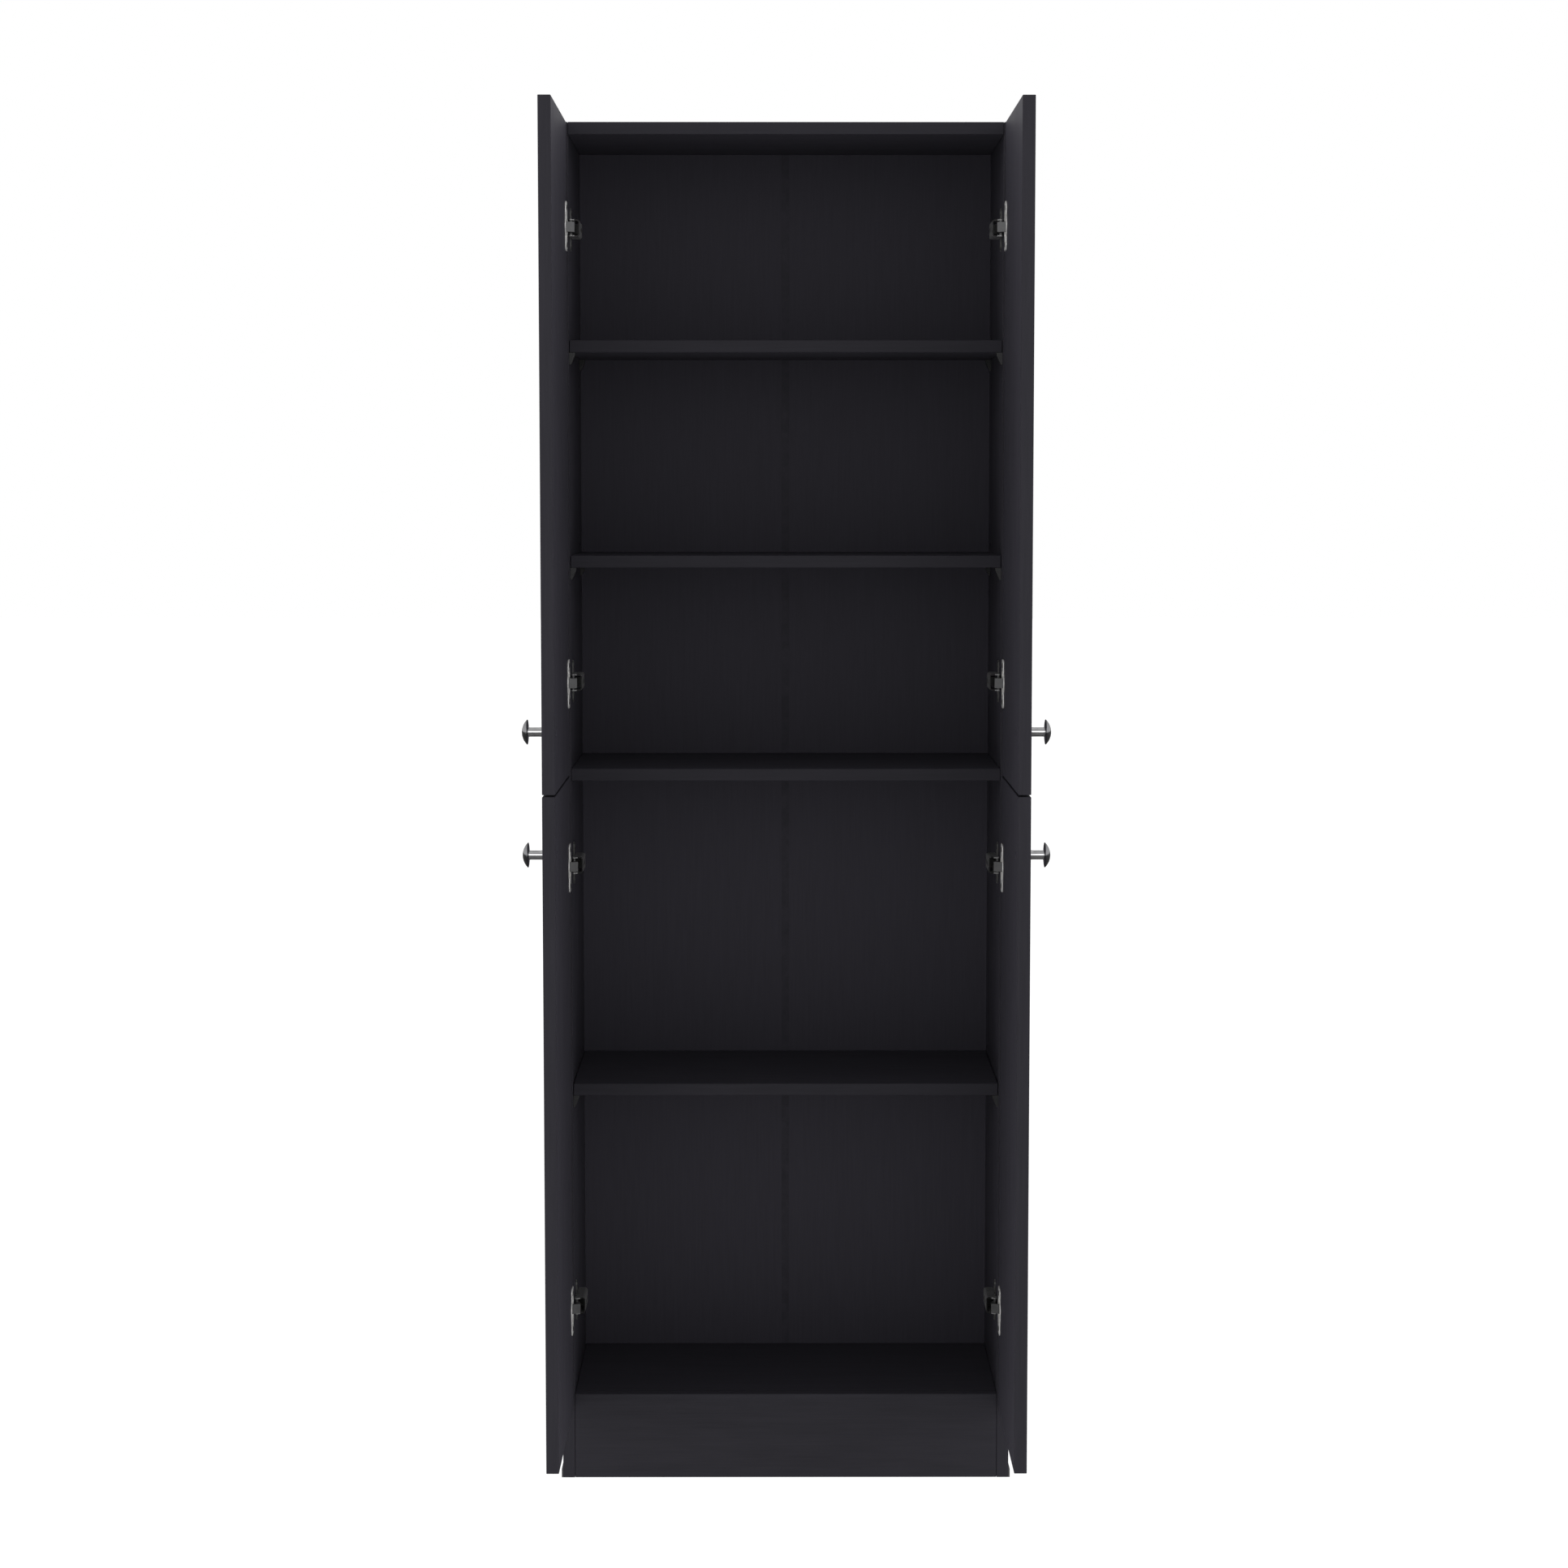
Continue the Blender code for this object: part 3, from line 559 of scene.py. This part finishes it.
def screw_head(radius):
    """Low oval head with a cross recess, standing on z = 0."""
    height = radius * SCREW_RISE
    profile = [(0.0, 0.0), (radius, 0.0), (radius, height * SCREW_EDGE)]
    for step in range(1, SCREW_STEPS + 1):
        angle = math.radians(90 / SCREW_STEPS * step)
        across = radius * math.cos(angle) ** SCREW_DOME if step < SCREW_STEPS else 0.0
        profile.append((across, height * (SCREW_EDGE + (1 - SCREW_EDGE) * math.sin(angle))))
    length, width = radius * SLOT_LENGTH, radius * SLOT_WIDTH
    centre = (0.0, 0.0, height * SLOT_LEVEL)
    tools = [bar((length, width, height), centre), bar((width, length, height), centre)]
    return smooth(cut(turned(profile, SCREW_SIDES), tools))


def cap(radius, thick):
    """Flat press-in cover with a rounded rim and a shallow dish in the middle."""
    return smooth(turned([(radius * across, thick * up) for across, up in CAP_PROFILE], CAP_SIDES))


def knob_stem_mesh(length):
    profile = [(0.0, 0.0), (STEM_RADIUS, 0.0), *STEM_PROFILE, (STEM_TIP, length), (0.0, length)]
    return smooth(turned(profile, STEM_SIDES), STEM_CREASE)


def knob_head_mesh(start, radius, end):
    """Lens-shaped head: a slightly hollowed underside, a thin rounded rim and a ball-shaped crown."""
    rim_height = end - KNOB_CROWN
    reach = radius - RIM_RADIUS - STEM_RADIUS
    rise = rim_height - RIM_RADIUS - start
    profile = [(0.0, start), (STEM_RADIUS, start)]
    for step in range(1, UNDERSIDE_STEPS):
        share = step / UNDERSIDE_STEPS
        profile.append((STEM_RADIUS + reach * share, start + rise * share ** UNDERSIDE_POWER))
    for step in range(RIM_STEPS):
        angle = math.radians(-90 + RIM_TURN * step)
        across = radius - RIM_RADIUS + RIM_RADIUS * math.cos(angle)
        profile.append((across, rim_height + RIM_RADIUS * math.sin(angle)))
    shoulder, level = profile[-1]
    crown = end - level
    ball = (shoulder ** 2 + crown ** 2) / (2 * crown)
    widest = math.asin(shoulder / ball)
    for step in range(1, CROWN_STEPS + 1):
        angle = widest * (1 - step / CROWN_STEPS)
        across = ball * math.sin(angle) if step < CROWN_STEPS else 0.0
        profile.append((across, end - ball + ball * math.cos(angle)))
    return smooth(turned(profile, HEAD_SIDES), HEAD_CREASE)


# ---------------------------------------------------------------- pieces


def add_piece(name, mesh, material, body, place, facing):
    """Piece whose +Z points the way it faces, riding on a body."""
    piece = bpy.data.objects.new(name, mesh)
    bpy.context.scene.collection.objects.link(piece)
    if not mesh.materials:
        mesh.materials.append(material)
    piece.location = place
    piece.rotation_mode = "QUATERNION"
    piece.rotation_quaternion = Vector(facing).to_track_quat("Z", "Y")
    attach(piece, body)
    return piece


def each_door():
    """Level, side's name, side's direction along X, and body of each door."""
    for level in LEVELS:
        for name, side in SIDES.items():
            yield level, name, side, f"{level}_{name}_door"


def face_x(low, high, side):
    """X of a box's face that looks away from a side of the cabinet."""
    return low.x if side > 0 else high.x


def add_knobs(materials):
    low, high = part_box("knob_upper_right")
    projection = high.x - low.x
    radius = (high.z - low.z) / 2
    neck = projection - KNOB_HEAD_THICK
    meshes = {"stem": knob_stem_mesh(neck), "head": knob_head_mesh(neck + HEAD_GAP, radius, projection)}
    for level, name, side, body in each_door():
        node = f"knob_{level}_{name}"
        low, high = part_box(node)
        foot = (face_x(low, high, side), (low.y + high.y) / 2, (low.z + high.z) / 2)
        for part, mesh in meshes.items():
            label = f"knob_{part}_{level}_{name}"
            piece = add_piece(label, mesh, materials[part], body, foot, (side, 0, 0))
            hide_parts(node)


def add_knob_caps(materials):
    """Flush caps over the knob screws, on the doors' inner faces."""
    mesh = cap(CAP_RADIUS, CAP_THICK)
    for level, name, side, body in each_door():
        low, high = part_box(f"knob_{level}_{name}")
        door_low, door_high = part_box(f"door_{level}_{name}")
        inner = face_x(door_low, door_high, side)
        place = (inner + side * SEAT, (low.y + high.y) / 2, (low.z + high.z) / 2)
        label = f"knob_screw_cap_{level}_{name}"
        add_piece(label, mesh, materials["cap"], body, place, (-side, 0, 0))


def add_hinge_screws(materials):
    meshes = {kind: screw_head(radius) for kind, radius in SCREW_RADIUS.items()}

    def add_screw(kind, label, body, place, side):
        add_piece(label, meshes[kind], materials["screw"], body, place, (-side, 0, 0))

    for level, name, side, body in each_door():
        for end in ENDS:
            label = f"{level}_{name}_{end}"
            low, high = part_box("hinge_cup_" + label)
            face = face_x(low, high, side) + side * SEAT
            middle = (low + high) / 2
            arm_low, arm_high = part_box("hinge_arm_" + label)
            web = face_x(arm_low, arm_high, side) + side * SEAT
            wall = face_x(arm_low, arm_high, -side)
            plate = wall - side * (PLATE_THICK - SEAT)
            height = (arm_low.z + arm_high.z) / 2
            for where, up in (("above", 1), ("below", -1)):
                place = (face, middle.y, middle.z + up * FLANGE_SCREW_OFFSET)
                add_screw("flange", f"flange_screw_{label}_{where}", body, place, side)
                place = (plate, arm_low.y + WING_FROM_NOSE, height + up * PLATE_SCREW_OFFSET)
                add_screw("plate", f"plate_screw_{label}_{where}", "carcass", place, side)
            for kind, along in ARM_SCREWS_FROM_NOSE.items():
                place = (web, arm_low.y + along, height)
                add_screw("arm", f"arm_{kind}_screw_{label}", "carcass", place, side)


def add_cam_covers(materials):
    """Covers over the cam locks that join the fixed panels to the sides, where they are out of sight."""
    mesh = cap(COVER_RADIUS, COVER_THICK)
    for panel, up in (("top_panel", 1), ("middle_panel", -1), ("bottom_panel", -1)):
        low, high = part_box(panel)
        face = high.z - SEAT if up > 0 else low.z + SEAT
        for name, side in SIDES.items():
            edge = face_x(low, high, -side)
            for where, share in COVER_PLACES.items():
                place = (edge - side * COVER_FROM_SIDE, low.y + (high.y - low.y) * share, face)
                label = f"cam_cover_{panel}_{name}_{where}"
                add_piece(label, mesh, materials["plastic"], "carcass", place, (0, 0, up))


# ---------------------------------------------------------------- stage


def add_floor():
    work = bmesh.new()
    bmesh.ops.create_grid(work, x_segments=1, y_segments=1, size=FLOOR_SIZE)
    floor = bpy.data.objects.new("studio_floor", finished(work, "studio_floor"))
    floor.location = (0.0, 0.0, cad_box[0].z - FLOOR_DROP)
    bpy.context.scene.collection.objects.link(floor)
    material, tree, shader = new_material("pale_floor")
    shader.inputs["Base Color"].default_value = (*FLOOR_COLOUR, 1.0)
    shader.inputs["Roughness"].default_value = FLOOR_ROUGHNESS
    shader.inputs["Emission Color"].default_value = (*WHITE, 1.0)
    path = tree.nodes.new("ShaderNodeLightPath")
    seen = combine(tree, "MULTIPLY", path.outputs["Is Camera Ray"], FLOOR_SEEN - FLOOR_LIGHT)
    mirrored = combine(tree, "MULTIPLY", path.outputs["Is Glossy Ray"], -FLOOR_LIGHT)
    glow = combine(tree, "ADD", combine(tree, "ADD", seen, mirrored), FLOOR_LIGHT)
    tree.links.new(glow, shader.inputs["Emission Strength"])
    give(floor, material)


def add_studio():
    """White surroundings, brighter at the sides and in front, with a grey band seen in reflections."""
    world = bpy.data.worlds.new("white_studio")
    world.use_nodes = True
    tree = world.node_tree
    background = tree.nodes["Background"]
    toward = split(tree, tree.nodes.new("ShaderNodeTexCoord").outputs["Generated"])
    sideways = combine(tree, "POWER", combine(tree, "ABSOLUTE", toward["X"], 0.0), SIDE_POWER)
    ahead = combine(tree, "MAXIMUM", combine(tree, "MULTIPLY", toward["Y"], -1.0), 0.0)
    ahead = combine(tree, "POWER", ahead, FRONT_POWER)
    lit = combine(tree, "ADD", weighted(tree, sideways, WORLD_SIDES, ahead, WORLD_FRONT), WORLD_EVEN)
    path = tree.nodes.new("ShaderNodeLightPath")
    from_flag = combine(tree, "ABSOLUTE", combine(tree, "SUBTRACT", toward["Z"], FLAG_HEIGHT), 0.0)
    flag = spread(tree, from_flag, (FLAG_SHADE, 1.0), (0.0, FLAG_REACH))
    mirrored = combine(tree, "MULTIPLY", combine(tree, "MULTIPLY", lit, flag), path.outputs["Is Glossy Ray"])
    not_glossy = combine(tree, "SUBTRACT", 1.0, path.outputs["Is Glossy Ray"])
    lit = combine(tree, "ADD", mirrored, combine(tree, "MULTIPLY", lit, not_glossy))
    strength = combine(tree, "MAXIMUM", lit, path.outputs["Is Camera Ray"])
    tree.links.new(strength, background.inputs["Strength"])
    background.inputs["Color"].default_value = (*WHITE, 1.0)
    bpy.context.scene.world = world
    bpy.context.scene.view_settings.view_transform = "Standard"


def add_camera():
    camera = bpy.data.objects.new("camera", bpy.data.cameras.new("camera"))
    camera.data.lens = CAMERA_LENS
    camera.location = CAMERA_PLACE
    camera.rotation_euler = (math.radians(90.0 - CAMERA_DOWN), 0.0, math.radians(-CAMERA_RIGHT))
    bpy.context.scene.collection.objects.link(camera)
    bpy.context.scene.camera = camera


add_camera()
materials = make_materials()
finish_cad_nodes(materials)
add_knobs(materials)
add_knob_caps(materials)
add_hinge_screws(materials)
add_cam_covers(materials)
add_floor()
add_studio()
